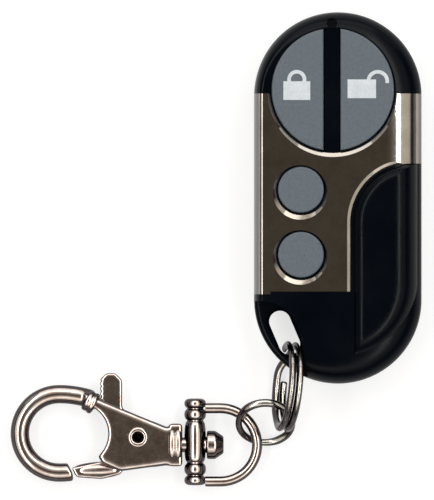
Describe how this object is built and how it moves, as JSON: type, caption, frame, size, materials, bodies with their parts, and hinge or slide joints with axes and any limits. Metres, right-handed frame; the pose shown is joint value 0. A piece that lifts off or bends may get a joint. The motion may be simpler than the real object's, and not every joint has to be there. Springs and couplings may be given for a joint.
{
  "type": "car alarm remote",
  "caption": "Slim key fob remote with two half-round and two round buttons, metal trim, indicator lens, and a split ring chain ending in a swivel trigger clasp.",
  "frame": {"origin": "centre of the flat back of the remote's body, on the surface that it lies on", "axes": "+Z out of the button side, +Y towards the indicator end of the body, +X to the right of the buttons; the key ring chain runs off towards -X and -Y"},
  "size_m": [0.0732, 0.0845, 0.0161],
  "materials": {
    "black_shell": "satin black moulded plastic",
    "trim_metal": "polished metal trim with bright edges",
    "button_rubber": "matte grey rubber",
    "white_print": "white print",
    "board_laminate": "green solder mask",
    "black_component": "moulded epoxy",
    "switch_stem": "pale nylon",
    "seal_rubber": "foam rubber",
    "metal_can": "nickel plated",
    "copper_track": "bare copper",
    "led_body": "moulded package",
    "lens_plastic": "dark smoked lens",
    "battery_can": "sleeved cell",
    "contact_metal": "nickel plated strip",
    "screw_steel": "zinc plated",
    "ring_steel": "nickel plated spring steel",
    "clasp_plating": "nickel plated casting, bright",
    "spring_steel": "spring wire"
  },
  "bodies": {
    "remote": {"front_cover": "black_shell", "back_cover": "black_shell", "chrome_trim": "trim_metal", "circuit_board": "board_laminate", "encoder_chip": "black_component", "rf_transistor": "black_component", "chip_resistors": "black_component", "lock_switch": "black_component", "unlock_switch": "black_component", "upper_switch": "black_component", "lower_switch": "black_component", "dust_seal": "seal_rubber", "saw_resonator": "metal_can", "antenna_track": "copper_track", "indicator_led": "led_body", "led_lens": "lens_plastic", "battery": "battery_can", "battery_contact_positive": "contact_metal", "battery_contact_negative": "contact_metal", "cover_screws": "screw_steel"},
    "lock_key": {"lock_button": "button_rubber", "lock_symbol": "white_print", "lock_switch_stem": "switch_stem"},
    "unlock_key": {"unlock_button": "button_rubber", "unlock_symbol": "white_print", "unlock_switch_stem": "switch_stem"},
    "upper_key": {"upper_round_button": "button_rubber", "upper_switch_stem": "switch_stem"},
    "lower_key": {"lower_round_button": "button_rubber", "lower_switch_stem": "switch_stem"},
    "key_split_ring": {"split_ring": "ring_steel"},
    "link_ring": {"jump_ring": "ring_steel"},
    "loop": {"swivel_loop": "clasp_plating"},
    "clasp": {"clasp_body": "clasp_plating", "swivel_post": "clasp_plating", "gate_rivet": "clasp_plating"},
    "gate": {"gate_lever": "clasp_plating", "gate_spring": "spring_steel"}
  },
  "joints": [
    {"name": "lock_press", "type": "slide", "parent": "remote", "child": "lock_key", "axis": [0, 0, -1], "range_m": [0, 0.0006], "stiffness_N_per_m": 1500, "springref_m": -0.0002},
    {"name": "unlock_press", "type": "slide", "parent": "remote", "child": "unlock_key", "axis": [0, 0, -1], "range_m": [0, 0.0006], "stiffness_N_per_m": 1500, "springref_m": -0.0002},
    {"name": "upper_press", "type": "slide", "parent": "remote", "child": "upper_key", "axis": [0, 0, -1], "range_m": [0, 0.0006], "stiffness_N_per_m": 1500, "springref_m": -0.0002},
    {"name": "lower_press", "type": "slide", "parent": "remote", "child": "lower_key", "axis": [0, 0, -1], "range_m": [0, 0.0006], "stiffness_N_per_m": 1500, "springref_m": -0.0002},
    {"name": "split_ring_swing", "type": "hinge", "parent": "remote", "child": "key_split_ring", "pos_m": [-0.00848, -0.02906, 0.007], "axis": [-0.9784, 0.0977, 0.1822], "range_deg": [-35, 24]},
    {"name": "jump_ring_swing", "type": "hinge", "parent": "key_split_ring", "child": "link_ring", "pos_m": [-0.00964, -0.04065, 0.00812], "axis": [0.1813, -0.0181, 0.9833], "range_deg": [-30, 18]},
    {"name": "swivel_loop_swing", "type": "hinge", "parent": "link_ring", "child": "loop", "pos_m": [-0.01639, -0.04244, 0.00169], "axis": [0.6724, -0.5586, -0.4856], "range_deg": [-30, 8]},
    {"name": "clasp_swivel", "type": "hinge", "parent": "loop", "child": "clasp", "pos_m": [-0.02735, -0.044, 0.0026], "axis": [1, 0, 0], "continuous": true},
    {"name": "gate_pull", "type": "hinge", "parent": "clasp", "child": "gate", "pos_m": [-0.03556, -0.0426, 0.0026], "axis": [0, 0, -1], "range_deg": [0, 25], "stiffness_Nm_per_rad": 0.03, "springref_deg": -11.46}
  ]
}
